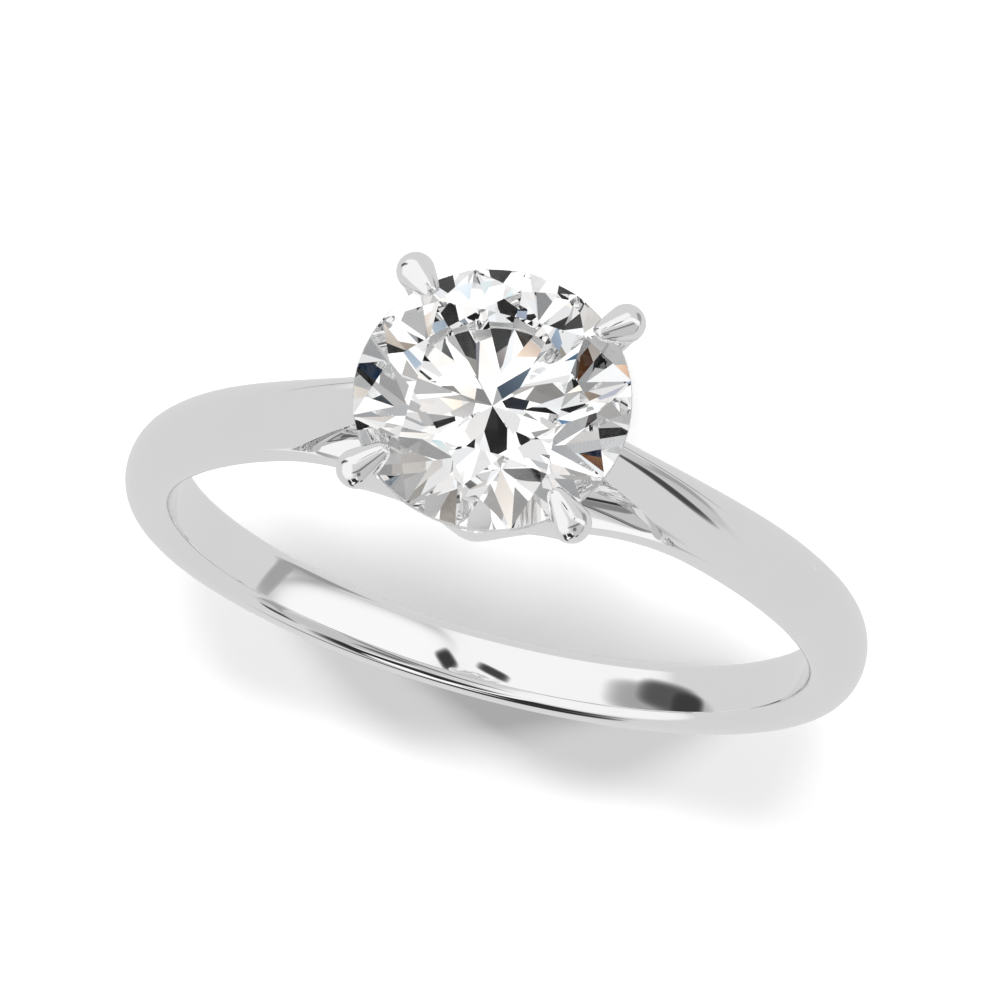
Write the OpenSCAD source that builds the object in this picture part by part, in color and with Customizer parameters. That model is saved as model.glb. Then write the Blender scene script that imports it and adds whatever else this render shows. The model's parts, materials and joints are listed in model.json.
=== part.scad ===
// Solitaire engagement ring with cathedral shoulders and four claws.
// The ring is worked out upright: the finger hole runs along Y and the stone is up on Z.
// It is then laid on its side, as it rests on a table, on the girdle and the foot of the band.
// Angles round the band are counted from its foot, so the stone is at 180 degrees.

/* [Finger hole and band] */
// Inner diameter of the finger hole
hole_d = 17.7; // [14:0.1:22]
// Width of the flat inside of the band
inner_w = 1.16; // [1:0.02:3]
// Widest part of the band at its foot
foot_w = 1.9; // [1.2:0.05:4]
// Widest part of the band at its sides
side_w = 2.06; // [1.2:0.02:4]
// Widest part of the shoulders where they end under the stone
stone_end_w = 1.6; // [0.8:0.05:3]
// Metal thickness at the foot
foot_t = 1.93; // [1.2:0.01:3]
// Metal thickness at the sides
side_t = 1.45; // [1.2:0.01:3]
// How quickly the foot thins out to the sides
foot_power = 4; // [1:0.5:6]
// Height of the widest line above the inside of the band
belly_h = 0.5; // [0.2:0.05:1]

/* [Shoulders] */
// Angle where the shoulders start to rise
rise_from = 118; // [100:1:135]
// Angle where the shoulders end
rise_to = 171; // [168:1:173]
// How far the ridge has risen at the end
rise_h = 2.8; // [2.4:0.01:3.2]
// How late the ridge rises: 1 is an even rise
rise_power = 2.12; // [1:0.01:4]
// Angle of the tip of each opening below the shoulders
window_from = 150; // [145:1:158]
// Thickness of the shoulders at their ends
arch_end_t = 0.9; // [0.6:0.05:1.5]
// How late the opening widens: 1 is an even widening
arch_power = 1.15; // [1:0.05:2]
// Ridge of the shoulders: 1 is round, 1.5 nearly a roof
ridge_sharpness = 1.25; // [1:0.05:1.5]

/* [Finger rail] */
// Thickness of the finger rail under the head
rail_t = 0.95; // [0.6:0.05:1.5]
// Reach of the rail's point to each side of the band's middle
rail_reach = 2.1; // [1:0.05:3]
// Length of the flare to each side of the point
rail_flare = 6; // [4:0.1:8]
// How sharply the flare is drawn to its point
rail_point = 3; // [1:0.1:4]
// How round the point is drawn
rail_round = 0.4; // [0.1:0.05:0.8]
// Radius of the round nub on the point
nub_r = 0.45; // [0.3:0.01:0.7]

/* [Claws] */
// How far the middle of the claws' thick ends lies outside the girdle
claw_out = 0.36; // [0.3:0.01:0.5]
// Height of the claws' thick end above the girdle's middle
claw_up = 0.2; // [0:0.01:0.6]
// Radius of the claws' thick end
claw_r = 0.46; // [0.3:0.01:0.7]
// How far the claws' tips reach in over the crown
tip_in = 0.34; // [0.1:0.01:0.6]
// Radius of the claws' tips
tip_r = 0.13; // [0.08:0.01:0.3]
// Radius of the arms between the nubs and the claws
arm_r = 0.4; // [0.25:0.01:0.6]

/* [Stone] */
// Diameter of the round brilliant
stone_d = 6.4; // [4:0.05:9]
// Height of the girdle's middle above the finger hole
girdle_up = 4.28; // [4:0.01:5]
// Width of the table as a share of the diameter
table_share = 0.56; // [0.5:0.01:0.65]
// Slope of the eight large crown facets
crown_angle = 34.5; // [30:0.1:38]
// Slope of the eight large facets below
pavilion_angle = 40.9; // [39:0.1:43]
// Length of the star facets as a share of the crown's width
star_share = 0.5; // [0.4:0.01:0.6]
// Length of the lower halves as a share of the radius
lower_share = 0.77; // [0.7:0.01:0.85]
// Thickness of the girdle
girdle_t = 0.2; // [0.1:0.01:0.4]
// Clearance between the stone and the metal
seat_gap = 0.05; // [0.02:0.01:0.1]

/* [Hidden] */
white_gold = [0.82, 0.82, 0.83];
clear_white = [0.93, 0.95, 0.98];

hole_r = hole_d / 2;
inner_half = inner_w / 2;
stone_r = stone_d / 2;
girdle_z = hole_r + girdle_up;
claw_off = stone_r + claw_out;
tip_off = stone_r - tip_in;
table_r = stone_r * table_share;
crown_h = (stone_r - table_r) * tan(crown_angle);
table_z = girdle_z + girdle_t / 2 + crown_h;
girdle_low = girdle_z - girdle_t / 2;
rail_r = hole_r + rail_t;

rail_end_half = inner_half + 0.16;
edge_rise = 0.03;        // straight start of the band's sides above the finger hole
sweep_depth = 0.6;       // how deep the band is swept before the finger hole is bored
stations = 102;          // sections along the band
dome_parts = 7;          // flats on each half of the band's dome
rail_stations = 28;      // sections along the finger rail
rail_ease = 0.1;         // how far the rail's widest line stands out from its flare
rail_inside = 0.02;      // how much narrower the rail is than the band where it runs on inside
rail_top_share = 0.965;  // width of the rail's top as a share of its widest line
rail_overlap = 7;        // angle by which the rail runs on inside the band
nub_sunk = 0.9;          // share of the nub's radius that lies inside the rail's point
arm_bend = [1.4, rail_reach - 0.4, hole_r + 2.05];  // where the arms are drawn to on their way up
arm_parts = 9;
wire_sides = 12;         // sides of the arms
ball_fn = 28;            // segments of the claws and nubs
tip_fn = 16;
fine = 96;               // segments of the large circles
bore_len = 12;           // length of the solids that cut through the band from side to side
first_corner = 22.5;     // direction of the first facet corner, from the line through the shoulders
spare = 0.5;             // how far a cutting solid runs past what it cuts

function unit(v) = v / norm(v);
function blend(a, b, s) = a + (b - a) * s;
function ease(from, to, x) =
    let (s = min(1, max(0, (x - from) / (to - from))))
    s * s * (3 - 2 * s);
function around(r, a, z) = [r * cos(a), r * sin(a), z];
function at_station(p, phi) = [p[1] * sin(phi), p[0], -p[1] * cos(phi)];

// The band's section at an angle from the foot: points of half width and distance from the axis.

function half_w(phi) =
    let (shank = blend(foot_w, side_w, pow(sin(phi), 2)) / 2)
    blend(shank, stone_end_w / 2, ease(rise_from, rise_to + 1, abs(phi)));
function ridge_r(phi) =
    let (
        shank_t = blend(side_t, foot_t, pow((1 + cos(phi)) / 2, foot_power)),
        risen = max(0, (abs(phi) - rise_from) / (rise_to - rise_from))
    )
    hole_r + shank_t + rise_h * pow(risen, rise_power);
function sharpness(phi) = blend(1, ridge_sharpness, ease(rise_from + 12, rise_to - 4, abs(phi)));

function dome_point(phi, t) =
    let (
        belly_r = hole_r + belly_h,
        k = sharpness(phi),
        y = half_w(phi) * pow(cos(t), k),
        up = pow(sin(t), k - 0.2)
    )
    [y, belly_r + (ridge_r(phi) - belly_r) * up];
function eased_edge(phi, t) =
    [
        inner_half + (half_w(phi) - inner_half) * sin(t),
        hole_r + edge_rise + (belly_h - edge_rise) * (1 - cos(t))
    ];
function half_section(phi) =
    concat(
        [[inner_half, hole_r - sweep_depth]],
        [for (t = [0 : 30 : 60]) eased_edge(phi, t)],
        [for (i = [0 : dome_parts]) dome_point(phi, 90 * i / dome_parts)]
    );
function section(phi) =
    let (half = half_section(phi), n = len(half))
    concat(half, [for (i = [n - 2 : -1 : 0]) [-half[i][0], half[i][1]]]);

// A closed skin over rings of points that all have the same length.

function skin_faces(rings, n) =
    concat(
        [[for (i = [n - 1 : -1 : 0]) i]],
        [for (j = [0 : rings - 2], i = [0 : n - 1])
            let (a = j * n + i, b = j * n + (i + 1) % n) each [[a, b, a + n], [b, b + n, a + n]]],
        [[for (i = [0 : n - 1]) (rings - 1) * n + i]]
    );
module skin(rings) {
    n = len(rings[0]);
    polyhedron(points = [for (r = rings) each r], faces = skin_faces(len(rings), n), convexity = 10);
}

// Band and shoulders.

module band_sweep() {
    phis = [for (i = [0 : stations]) rise_to * (2 * i / stations - 1)];
    skin([for (phi = phis) [for (p = section(phi)) at_station(p, phi)]]);
}

// The opening below each shoulder, cut from the finger rail's top up to the shoulder.
function arch_under(phi) =
    let (share = (phi - window_from) / (rise_to - window_from))
    blend(rail_r, ridge_r(rise_to) - arch_end_t, pow(share, arch_power));
module window(side) {
    past_end = rise_to + 6;
    under = [for (phi = [window_from : 3 : past_end]) at_station([0, arch_under(phi)], phi)];
    low_r = hole_r - 2 * sweep_depth;
    low = [for (phi = [past_end, window_from + 1]) at_station([0, low_r], phi)];
    rotate([90, 0, 0])
        linear_extrude(height = bore_len, center = true)
            polygon([for (p = concat(under, low)) [side * p[0], p[2]]]);
}

// Finger rail: the wall of the finger hole, carried on under the head and flared to a round point.
function rail_flared(turn) =
    let (
        x = hole_r * sin(turn),
        past_round = sqrt(x * x + rail_round * rail_round) - rail_round,
        left = max(0, 1 - past_round / rail_flare)
    )
    rail_end_half + (rail_reach - rail_end_half) * pow(left, rail_point);
function rail_section(turn) =
    let (
        band_half = half_w(180 - abs(turn)),
        wide = max(rail_flared(turn) + rail_ease, band_half),
        low = wide - (band_half - inner_half) - rail_inside,
        half = concat(
            [[low, hole_r - sweep_depth]],
            [for (t = [0 : 30 : 90]) [
                blend(low, wide, sin(t)),
                hole_r + edge_rise + (belly_h - edge_rise) * (1 - cos(t))
            ]],
            [[rail_top_share * wide, rail_r]]
        )
    )
    concat(half, [for (i = [len(half) - 1 : -1 : 0]) [-half[i][0], half[i][1]]]);
module finger_rail() {
    far = 180 - window_from + rail_overlap;
    turns = [for (i = [0 : rail_stations]) let (s = 2 * i / rail_stations - 1) far * s * sqrt(abs(s))];
    skin([for (turn = turns) [for (p = rail_section(turn)) at_station(p, 180 + turn)]]);
}

// Head: a nub on each point of the rail, and from it an arm to a claw on either side.
module nub(front) {
    translate([0, front * (rail_reach - nub_sunk * nub_r), hole_r + nub_r + edge_rise])
        sphere(r = nub_r, $fn = ball_fn);
}
function arm_path(s) =
    let (
        foot = [0, rail_reach - nub_r, hole_r + nub_r],
        top = [claw_off * sin(45), claw_off * cos(45), girdle_z + claw_up / 2]
    )
    pow(1 - s, 2) * foot + 2 * s * (1 - s) * arm_bend + s * s * top;
function mirrored(p, sx, sy) = [sx * p[0], sy * p[1], p[2]];
module arm(sx, sy) {
    rings = [for (i = [0 : arm_parts])
        let (
            s = i / arm_parts,
            here = mirrored(arm_path(s), sx, sy),
            ahead = unit(mirrored(arm_path(s + 0.01), sx, sy) - here),
            across = unit(cross(ahead, [0, 1, 0])),
            up = cross(across, ahead)
        )
        [for (k = [0 : wire_sides - 1])
            here + arm_r * (cos(k * 360 / wire_sides) * across + sin(k * 360 / wire_sides) * up)]
    ];
    skin(rings);
}
module claw(sx, sy) {
    root = sin(45) * claw_off;
    tip = sin(45) * tip_off;
    tip_z = girdle_z + crown_plane_z(tip_off, 0) + 0.8 * tip_r;
    hull() {
        translate([sx * root, sy * root, girdle_z + claw_up]) sphere(r = claw_r, $fn = ball_fn);
        translate([sx * tip, sy * tip, tip_z]) sphere(r = tip_r, $fn = tip_fn);
    }
}

// The metal before the finger hole is bored: one solid with its seat for the stone.
module band_blank() {
    difference() {
        union() {
            difference() {
                band_sweep();
                for (side = [-1, 1]) window(side);
            }
            finger_rail();
            for (front = [-1, 1]) nub(front);
            for (sx = [-1, 1], sy = [-1, 1]) {
                arm(sx, sy);
                claw(sx, sy);
            }
        }
        seat();
    }
}
module band_upright() {
    difference() {
        resize([0, 0, 0]) band_blank();
        rotate([90, 0, 0]) cylinder(r = hole_r, h = bore_len, center = true, $fn = fine);
    }
}

// Round brilliant, cut from three closed solids: the crown's facets run on below, the pavilion's
// run on above, and the girdle is a true cylinder. Facet corners lie at 22.5 degrees to the band.
function crown_plane_z(r, off) = girdle_t / 2 + (stone_r - r * cos(off)) * tan(crown_angle);
function lower_plane_z(r, off) = -girdle_t / 2 - (stone_r - r * cos(off)) * tan(pavilion_angle);

// Distance from the axis, in direction a, where the plane through three points reaches height z.
function reach_at(p, q, r, a, z) =
    let (n = cross(q - p, r - p))
    (n * p - n[2] * z) / (n[0] * cos(a) + n[1] * sin(a));

// Five points for each eighth of a facet cone: its inner corner, the half facets' inner corner,
// a point on the girdle and the two corners of the far end.
function cone_points(inner_r, inner_z, half_r, half_z, girdle_at, end_z) =
    [for (k = [0 : 7])
        let (
            a = first_corner + 45 * k,
            m = a + 22.5,
            half_corner = around(half_r, m, half_z),
            main_point = around(stone_r, a, girdle_at),
            mid_point = around(stone_r, m, girdle_at)
        )
        each [
            around(inner_r, a, inner_z),
            half_corner,
            main_point,
            around(reach_at(half_corner, main_point, mid_point, a, end_z), a, end_z),
            around(reach_at(half_corner, main_point, mid_point, m, end_z), m, end_z)
        ]];
module crown_cone(end_z) {
    half_r = blend(table_r * cos(22.5), stone_r, star_share);
    half_z = crown_plane_z(half_r, 22.5);
    pts = cone_points(table_r, girdle_t / 2 + crown_h, half_r, half_z, girdle_t / 2, end_z);
    facets = [for (k = [0 : 7])
        let (a = 5 * k, b = 5 * ((k + 1) % 8), p = 5 * ((k + 7) % 8))
        each [
            [a, b, a + 1],
            [p + 1, a, a + 1, a + 2],
            [a + 1, a + 4, a + 3, a + 2],
            [a + 1, b + 2, b + 3, a + 4]
        ]];
    table = [for (k = [7 : -1 : 0]) 5 * k];
    base = [for (k = [0 : 7]) each [5 * k + 3, 5 * k + 4]];
    polyhedron(points = pts, faces = concat([table, base], facets));
}
module pavilion_cone(end_z) {
    half_r = stone_r * (1 - lower_share);
    half_z = lower_plane_z(half_r, 22.5);
    culet = [0, 0, lower_plane_z(0, 0)];
    pts = concat(cone_points(half_r, half_z, half_r, half_z, -girdle_t / 2, end_z), [culet]);
    facets = [for (k = [0 : 7])
        let (a = 5 * k, b = 5 * ((k + 1) % 8), p = 5 * ((k + 7) % 8))
        each [
            [40, p + 1, a + 2, a + 1],
            [a + 1, a + 2, a + 3, a + 4],
            [a + 1, a + 4, b + 3, b + 2]
        ]];
    top = [for (k = [7 : -1 : 0]) each [5 * k + 4, 5 * k + 3]];
    polyhedron(points = pts, faces = concat([top], facets));
}
module round_brilliant() {
    depth = -lower_plane_z(0, 0);
    height = depth + girdle_t / 2 + crown_h;
    intersection() {
        crown_cone(-depth - 2 * spare);
        pavilion_cone(height - depth + 2 * spare);
        translate([0, 0, -depth - spare]) cylinder(r = stone_r, h = height + 2 * spare, $fn = fine);
    }
}

// The stone grown a little about its girdle, to cut its seat in the claws.
module seat() {
    translate([0, 0, girdle_z]) scale(1 + seat_gap / stone_r) round_brilliant();
}

// Resting place: the tilt at which the girdle and the foot of the band both touch the floor.
function touch_point(tilt) =
    let (
        pts = section(0),
        heights = [for (p = pts) p[0] * cos(tilt) + p[1] * sin(tilt)],
        k = search(max(heights), heights)[0]
    )
    pts[k];
function rest_tilt(rounds) =
    rounds == 0 ? 5 :
    let (p = touch_point(rest_tilt(rounds - 1)))
    atan((stone_r - p[0]) / (girdle_low + p[1]));
tilt = rest_tilt(6);
lift = stone_r * cos(tilt) - girdle_low * sin(tilt);
head_end = table_z * cos(tilt) + table_r * cos(22.5) * sin(tilt);
foot_end = ridge_r(0) * cos(tilt);

module laid() {
    translate([0, (head_end - foot_end) / 2, lift])
        rotate([90 - tilt, 0, 0])
            children();
}

module band() {
    color(white_gold) laid() band_upright();
}
module brilliant() {
    color(clear_white) laid() translate([0, 0, girdle_z]) round_brilliant();
}

band();
brilliant();
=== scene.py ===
"""Solitaire engagement ring lying on a white table.

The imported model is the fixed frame. The metal gets a smooth skin from the rules of its shape, and the
stone is cut facet by facet. Both stand where the model has them. The ring is worked out upright and in
millimetres: the finger hole runs along Y, the stone is up on Z, and angles round the band are counted
from its foot. It is then laid on its side by the tilt of the finger hole in the model.
"""

import json
import math
from types import SimpleNamespace
from typing import NamedTuple

import bmesh
import bpy
from bpy.props import FloatProperty, FloatVectorProperty, IntProperty, PointerProperty
from mathutils import Matrix, Vector


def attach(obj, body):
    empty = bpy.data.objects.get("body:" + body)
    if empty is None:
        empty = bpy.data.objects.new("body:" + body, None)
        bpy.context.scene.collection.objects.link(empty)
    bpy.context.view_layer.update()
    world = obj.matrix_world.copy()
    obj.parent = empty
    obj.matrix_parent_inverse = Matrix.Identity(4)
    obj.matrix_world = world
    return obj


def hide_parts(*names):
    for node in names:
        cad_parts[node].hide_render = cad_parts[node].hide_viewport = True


bl_info = {
    "name": "Solitaire Ring",
    "version": (1, 0, 0),
    "blender": (4, 5, 0),
    "location": "3D View > Sidebar > Ring",
    "description": "Builds a four-claw solitaire ring with cathedral shoulders, its stone and its table",
    "category": "Add Mesh",
}

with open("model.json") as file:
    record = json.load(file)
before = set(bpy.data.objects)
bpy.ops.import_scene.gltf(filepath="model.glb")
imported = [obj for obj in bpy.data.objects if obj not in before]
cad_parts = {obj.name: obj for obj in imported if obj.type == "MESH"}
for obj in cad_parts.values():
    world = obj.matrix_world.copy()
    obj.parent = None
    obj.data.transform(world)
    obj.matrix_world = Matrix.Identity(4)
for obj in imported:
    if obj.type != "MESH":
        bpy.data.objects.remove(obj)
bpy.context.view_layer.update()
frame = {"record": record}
HOLE = frame["record"]["mounts"][0]
MM = 0.001

# The largest that a plain number can be set to.
LARGEST = 1000.0


# Properties: what a user would change.


def length(name, description, millimetres):
    """A length, given here in millimetres and kept in metres."""
    return FloatProperty(
        name=name, description=description, default=millimetres * MM, min=0, precision=5, unit="LENGTH"
    )


def angle(name, description, degrees):
    """An angle, given here in degrees and kept in radians."""
    return FloatProperty(name=name, description=description, default=math.radians(degrees), unit="ROTATION")


def number(name, description, default, top=LARGEST):
    """A plain number from 0 up."""
    return FloatProperty(name=name, description=description, default=default, min=0, max=top, precision=3)


def colour(name, description, default):
    """A linear colour."""
    return FloatVectorProperty(
        name=name, description=description, default=default, min=0, max=1, size=3, subtype="COLOR"
    )


class RingSizes(bpy.types.PropertyGroup):
    """Sizes of the band, the shoulders, the finger rail and the claws."""

    hole_radius: length("Hole Radius", "Radius of the finger hole", HOLE["dims"]["r_mm"])
    inner_width: length("Inner Width", "Width of the flat inside of the band", 1.16)
    wall_crown: length("Wall Crown", "How far the inside falls back at its edges, for comfort", 0.02)
    foot_width: length("Foot Width", "Widest part of the band at its foot", 1.9)
    side_width: length("Side Width", "Widest part of the band at its sides", 2.06)
    stone_end_width: length("Stone End Width", "Widest part of the shoulders at the stone", 1.6)
    foot_thickness: length("Foot Thickness", "Metal thickness at the foot", 1.93)
    side_thickness: length("Side Thickness", "Metal thickness at the sides", 1.45)
    foot_power: number("Foot Power", "How quickly the foot thins out to the sides", 4)
    belly_height: length("Belly Height", "Height of the widest line above the inside of the band", 0.5)
    rise_from: angle("Rise From", "Angle where the shoulders start to rise", 118)
    rise_to: angle("Rise To", "Angle where the shoulders end", 171)
    rise_height: length("Rise Height", "How far the ridge has risen at the end", 2.8)
    rise_power: number("Rise Power", "How late the ridge rises", 2.12)
    window_from: angle("Window From", "Angle of the tip of each opening below the shoulders", 150)
    arch_end: length("Arch End", "Thickness of the shoulders at their ends", 0.9)
    arch_power: number("Arch Power", "How late the opening widens", 1.15)
    ridge_sharpness: number("Ridge Sharpness", "Ridge of the shoulders: 1 is round", 1.25)
    rail_thickness: length("Rail Thickness", "Thickness of the finger rail under the head", 0.95)
    rail_reach: length("Rail Reach", "Reach of the rail's point to each side", 2.1)
    rail_end: length("Rail End", "Reach of the rail to each side where its flare begins", 0.74)
    rail_ease: length("Rail Ease", "How far the rail's widest line stands out from its flare", 0.1)
    rail_flare: length("Rail Flare", "Length of the flare to each side of the point", 6)
    rail_point: number("Rail Point", "How sharply the flare is drawn to its point", 3)
    rail_swell: length("Rail Swell", "How far the rail's top rises in its middle", 0.22)
    rail_round: length("Rail Round", "How round the point is drawn", 0.4)
    nub_radius: length("Nub Radius", "Radius of the round nub on each point", 0.45)
    arm_radius: length("Arm Radius", "Radius of the arms between the nubs and the claws", 0.4)
    claw_radius: length("Claw Radius", "Radius of the claws' thick end", 0.46)
    claw_out: length("Claw Out", "How far the claws' thick end lies outside the girdle", 0.36)
    claw_up: length("Claw Up", "Height of the claws' thick end above the girdle's middle", 0.2)
    tip_radius: length("Tip Radius", "Radius of the claws' tips", 0.17)
    tip_in: length("Tip In", "How far the claws' tips reach in over the crown", 0.34)


class StoneSizes(bpy.types.PropertyGroup):
    """Cut of the round brilliant."""

    radius: length("Radius", "Radius of the girdle", 3.2)
    girdle_up: length("Girdle Up", "Height of the girdle's middle above the finger hole", 4.28)
    girdle: length("Girdle", "Thickness of the girdle", 0.2)
    seat_gap: length("Seat Gap", "Clearance between the stone and the metal", 0.05)
    table: number("Table", "Width of the table as a share of the diameter", 0.56)
    crown: angle("Crown", "Slope of the eight large crown facets", 34.5)
    pavilion: angle("Pavilion", "Slope of the eight large facets below", 40.9)
    star: number("Star", "Length of the star facets as a share of the crown's width", 0.5)
    lower: number("Lower", "Length of the lower halves as a share of the radius", 0.77)
    first_corner: angle("First Corner", "Direction of the first facet corner", 22.5)


class Finish(bpy.types.PropertyGroup):
    """Colours and polish of the metal and the stone."""

    metal: colour("Metal", "Colour of the polished white gold", (0.9, 0.9, 0.9))
    metal_shade: colour("Metal Shade", "Colour where the polish is a little duller", (0.87, 0.87, 0.875))
    metal_roughness: number("Metal Roughness", "Roughness where the polish is finest", 0.015, 1)
    metal_dullest: number("Metal Dullest", "Roughness where the polish is dullest", 0.05, 1)
    polish_patch: length("Polish Patch", "Size of the patches in which the polish changes", 2.5)
    polish_line: length("Polish Line", "Distance between the marks of the buffing wheel", 0.05)
    polish_depth: length("Polish Depth", "Depth of the marks of the buffing wheel", 0.00002)
    stone: colour("Stone", "Colour of the clear stone", (1, 1, 1))
    stone_gloss: colour("Stone Gloss", "Strength of what the stone's outside mirrors", (0.1, 0.1, 0.1))
    index: number("Index", "Refractive index of the stone", 2.417)
    girdle_roughness: number("Girdle Roughness", "Roughness of the stone's ground girdle", 0.3, 1)


class Stage(bpy.types.PropertyGroup):
    """Table, light and camera."""

    floor: colour("Floor", "Colour of the table", (0.9, 0.9, 0.9))
    room: number("Room", "Brightness of the room that the metal mirrors, between its panels", 0.73)
    gem: number("Gem", "Brightness of the room that the stone gathers, between its panels", 1.2)
    fire: number("Fire", "How far the stone spreads red from blue", 0.011)
    dark: number("Dark", "Share of the light that is left in the small gaps", 0.66)
    gaps: number("Gaps", "How many small gaps there are", 3.2)
    fill: number("Fill", "Brightness of the room that lights the table", 0.45)
    lamps: IntProperty(name="Lamps", description="How many low lamps stand in a row", default=5, min=1)
    lamp_power: number("Lamp Power", "Strength of each low lamp", 7.3)
    lamp_height: angle("Lamp Height", "Height of the low lamps over the table", 6)
    lamp_reach: angle("Lamp Reach", "How far round the outer lamps stand", 34)
    lamp_size: angle("Lamp Size", "How large each low lamp is", 9)
    lens: FloatProperty(name="Lens", description="Focal length", default=104.65, unit="CAMERA")
    turn: angle("Turn", "How far the camera stands round from the front of the upright ring", 14.737)
    height: angle("Height", "How high the camera stands over the upright ring", 70.835)
    roll: angle("Roll", "How far the camera is rolled", 0.28)
    distance: length("Distance", "Distance from the camera to the plane of its aim", 78.98)
    aim: FloatVectorProperty(
        name="Aim",
        description="Where the camera aims, to its right and up, in metres",
        size=2,
        default=(0.000193, 0.001988),
    )


# Placing.


def laid():
    """Turns and moves the upright ring to where it lies, in metres."""
    tilt = math.atan2(HOLE["axis"][1], HOLE["axis"][2])
    turned = Matrix.Rotation(math.pi / 2 - tilt, 4, "X")
    return Matrix.Translation(Vector(HOLE["pos_m"])) @ turned


# Fields: the numbers that a node tree works out at each point.


class Field:
    """A value at each point of a shape, worked with as a plain number is."""

    def __init__(self, tree, socket):
        self.tree = tree
        self.socket = socket

    def __add__(self, other):
        return calc("ADD", self, other)

    def __radd__(self, other):
        return calc("ADD", other, self)

    def __sub__(self, other):
        return calc("SUBTRACT", self, other)

    def __rsub__(self, other):
        return calc("SUBTRACT", other, self)

    def __mul__(self, other):
        return calc("MULTIPLY", self, other)

    def __rmul__(self, other):
        return calc("MULTIPLY", other, self)

    def __truediv__(self, other):
        return calc("DIVIDE", self, other)

    def __rtruediv__(self, other):
        return calc("DIVIDE", other, self)

    def __pow__(self, other):
        return calc("POWER", self, other)

    def __abs__(self):
        return calc("ABSOLUTE", self)


def calc(operation, *values):
    """One Math node on fields and plain numbers."""
    tree = next(value.tree for value in values if isinstance(value, Field))
    made = tree.nodes.new("ShaderNodeMath")
    made.operation = operation
    for socket, value in zip(made.inputs, values):
        plug(tree, value, socket)
    return Field(tree, made.outputs[0])


def plug(tree, value, socket):
    """Gives a socket a plain value, or links it to a field or another socket."""
    if isinstance(value, Field):
        tree.links.new(value.socket, socket)
    elif isinstance(value, bpy.types.NodeSocket):
        tree.links.new(value, socket)
    else:
        socket.default_value = value


def sine(x):
    return calc("SINE", x)


def cosine(x):
    return calc("COSINE", x)


def most(a, b):
    return calc("MAXIMUM", a, b)


def least(a, b):
    return calc("MINIMUM", a, b)


def between(a, b, share):
    """The value a share of the way from one to another."""
    return a + (b - a) * share


def clipped(x):
    """A value kept from 0 to 1."""
    return least(most(x, 0.0), 1.0)


def eased(low, high, x):
    """0 up to low, 1 from high on, and a smooth rise between."""
    share = clipped((x - low) / (high - low))
    return share * share * (3.0 - 2.0 * share)


def node(tree, kind, output=0, settings=None, **inputs):
    """Adds a node, sets it, plugs its inputs by name, and returns one of its outputs."""
    made = tree.nodes.new(kind)
    for key, value in (settings or {}).items():
        setattr(made, key, value)
    for key, value in inputs.items():
        plug(tree, value, made.inputs[key.replace("_", " ")])
    return made.outputs[output]


def point(tree, x, y, z):
    """A vector from three fields or plain numbers."""
    return node(tree, "ShaderNodeCombineXYZ", X=x, Y=y, Z=z)


def new_tree(name, numbers, others=()):
    """A geometry tree with a named input for each number, and its inputs as a namespace."""
    tree = bpy.data.node_groups.new(name, "GeometryNodeTree")
    tree.is_modifier = True
    tree.interface.new_socket("Geometry", in_out="OUTPUT", socket_type="NodeSocketGeometry")
    for label in numbers:
        tree.interface.new_socket(label, in_out="INPUT", socket_type="NodeSocketFloat")
    for label, kind in others:
        tree.interface.new_socket(label, in_out="INPUT", socket_type=kind)
    source = tree.nodes.new("NodeGroupInput")
    given = {}
    for label in numbers:
        given[label.lower().replace(" ", "_")] = Field(tree, source.outputs[label])
    for label, _ in others:
        given[label.lower().replace(" ", "_")] = source.outputs[label]
    return tree, SimpleNamespace(**given)


# The tree's nodes are laid out in rows of so many, and so far apart.
NODES_IN_ROW, NODE_WIDTH, NODE_HEIGHT = 24, 200, 220


def finish_tree(tree, geometry, material):
    """Realizes what the tree made, gives it its material and sends it out."""
    solid = node(tree, "GeometryNodeRealizeInstances", Geometry=geometry)
    painted = node(tree, "GeometryNodeSetMaterial", Geometry=solid, Material=material)
    out = tree.nodes.new("NodeGroupOutput")
    tree.links.new(painted, out.inputs[0])
    for i, made in enumerate(tree.nodes):
        made.location = (NODE_WIDTH * (i % NODES_IN_ROW), -NODE_HEIGHT * (i // NODES_IN_ROW))


def baked(name, tree, values):
    """The tree's result as a plain mesh on an object of its own."""
    piece = bpy.data.objects.new(name, bpy.data.meshes.new(name))
    bpy.context.scene.collection.objects.link(piece)
    modifier = piece.modifiers.new("Shape", "NODES")
    modifier.node_group = tree
    for item in tree.interface.items_tree:
        if item.in_out == "INPUT" and item.name in values:
            modifier[item.identifier] = values[item.name]
    bpy.context.view_layer.update()
    seen = piece.evaluated_get(bpy.context.evaluated_depsgraph_get())
    mesh = bpy.data.meshes.new_from_object(seen)
    piece.modifiers.remove(modifier)
    piece.data = mesh
    if not mesh.polygons:
        raise RuntimeError(f"{name} came out empty")
    return piece


def labels_and_values(group):
    """The names of a property group's numbers, and their values, lengths in millimetres."""
    found = {}
    for key in group.__annotations__:
        prop = group.bl_rna.properties[key]
        value = getattr(group, key)
        found[prop.name] = value / MM if prop.unit == "LENGTH" else value
    return found


# The band, worked out section by section.

# Steps along the stretches of a section: the wall of the finger hole, its rounded edge, the side up to the
# rail's top, the ledge there, the dome above it, and a flat top or underside.
WALL, EDGE, SIDE, LEDGE, DOME, FLAT = 8, 14, 8, 1, 26, 8

# Steps along the band, along the finger rail and along each shoulder.
BAND_ROWS, RAIL_ROWS, SHOULDER_ROWS = 320, 96, 32

# The crease that runs on from the tip of each opening: how soft it is, and how far along the band it
# fades out.
CREASE_SOFT = 0.035
CREASE_TURN = math.radians(13)

# How far after the shoulders' start their ridge begins to sharpen, and how far before their end it is sharp.
RIDGE_LATE, RIDGE_EARLY = math.radians(12), math.radians(4)

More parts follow.
